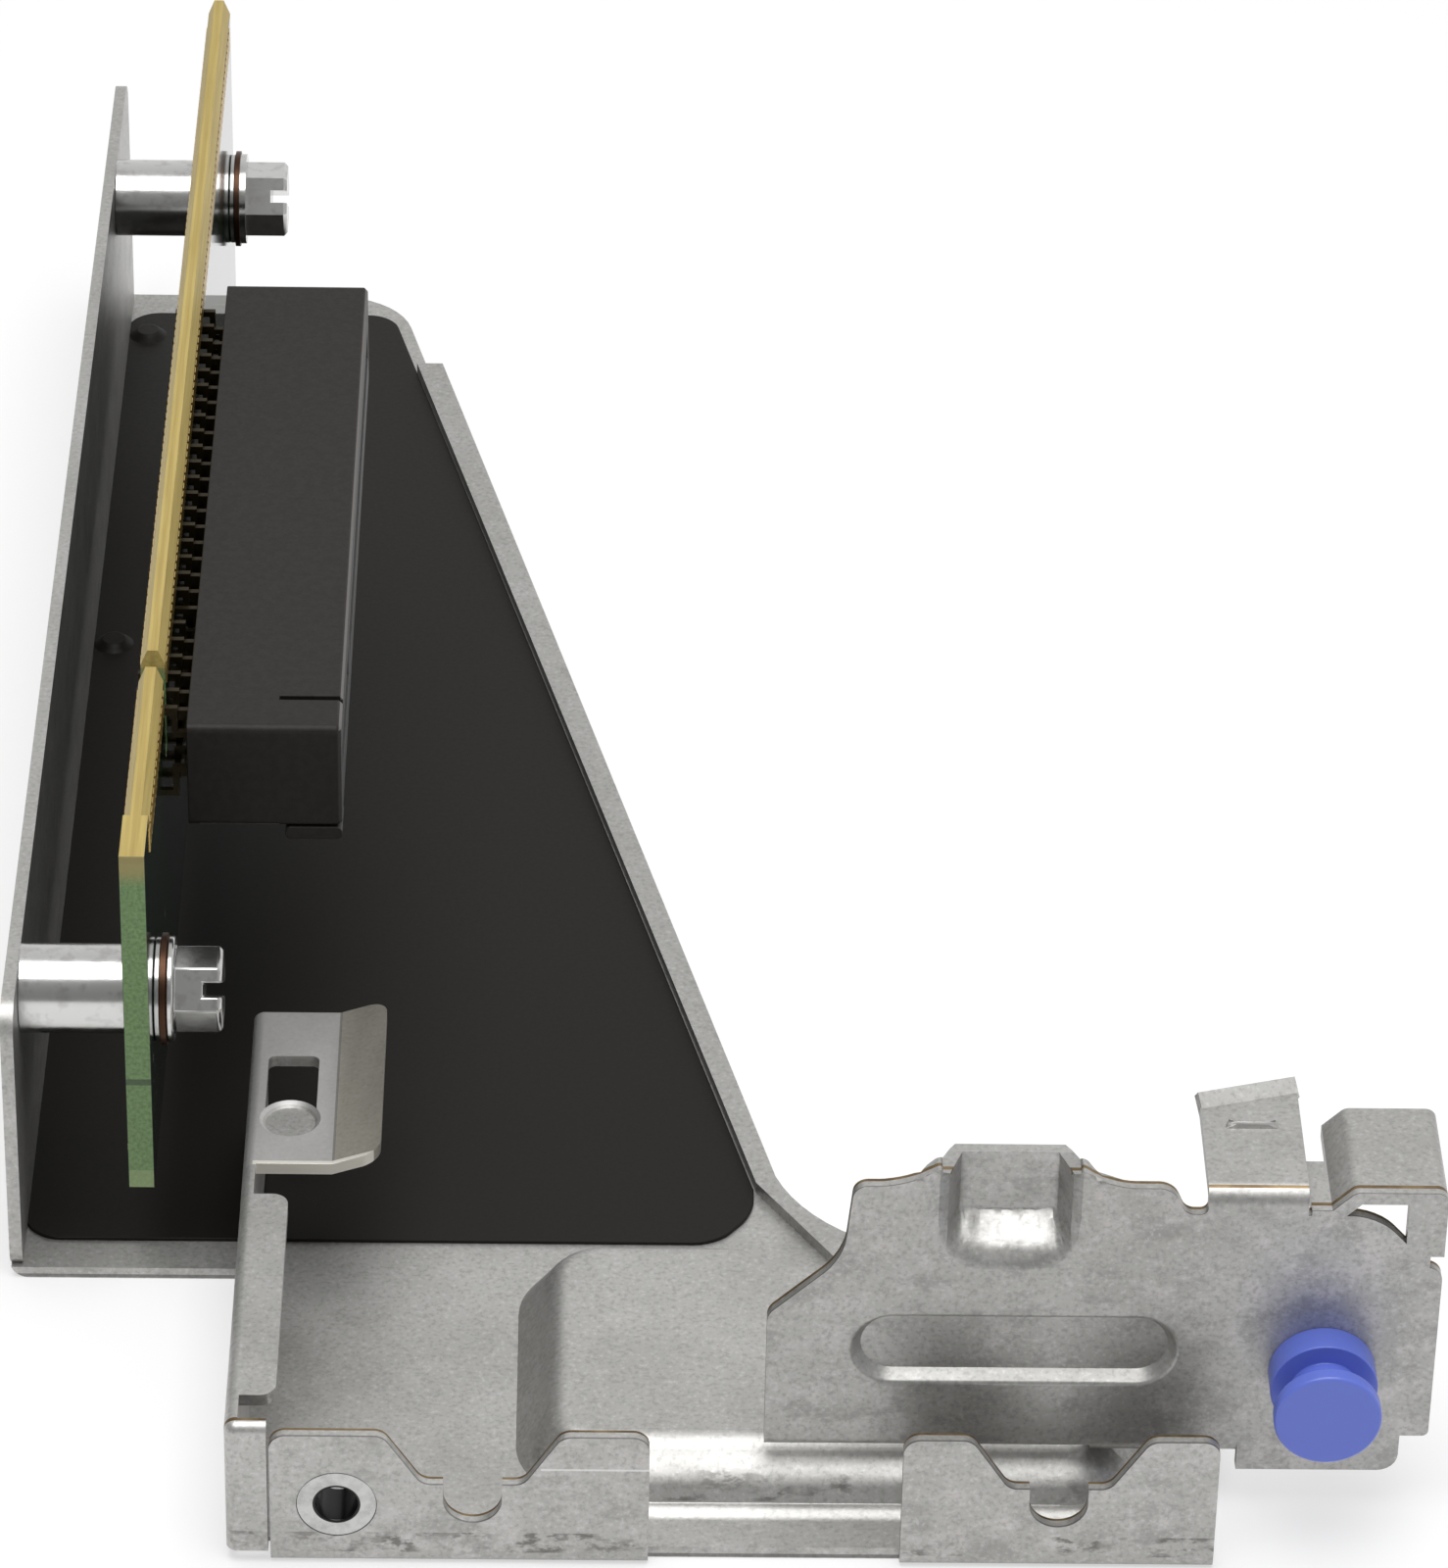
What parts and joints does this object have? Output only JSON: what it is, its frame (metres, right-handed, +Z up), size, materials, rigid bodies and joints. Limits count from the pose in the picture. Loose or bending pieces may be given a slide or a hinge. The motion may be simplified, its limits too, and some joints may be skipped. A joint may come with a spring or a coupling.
{
  "type": "pcie riser card",
  "caption": "Upright edge-connector riser board with a side-facing card slot, held by standoffs in a folded steel bracket with slotted front flanges and an upright end plate.",
  "frame": {"origin": "point on the underside of the bracket floor, below the component face of the riser board and level with the middle of the board's key notch", "axes": "+X from the board's component face towards the mouth of the card slot, +Y along the board away from the front flanges, +Z up from the bracket floor towards the board's finger edge"},
  "size_m": [0.0866, 0.1502, 0.032],
  "materials": {
    "tray_steel": "galvanised, mottled, brownish on cut edges",
    "plate_steel": "galvanised, mottled, brownish on cut edges",
    "film": "satin near-black insulating film",
    "board": "dark green gloss solder mask",
    "gold": "gold plate",
    "slot_plastic": "satin black moulding",
    "contact_metal": "tin plate",
    "plated_steel": "bright zinc plate",
    "copper": "dull bare copper",
    "knob_plastic": "satin blue moulding"
  },
  "bodies": {
    "root": {"bracket_tray": "tray_steel", "end_bracket": "plate_steel", "floor_film": "film", "riser_board": "board", "edge_fingers": "gold", "slot_housing": "slot_plastic", "slot_contacts": "contact_metal", "spacer_near": "plated_steel", "spacer_far": "plated_steel", "copper_pad_near": "copper", "copper_pad_far": "copper", "screw_near": "plated_steel", "screw_far": "plated_steel", "press_nut": "plated_steel", "knob": "knob_plastic", "knob_stud": "plated_steel"}
  },
  "joints": []
}
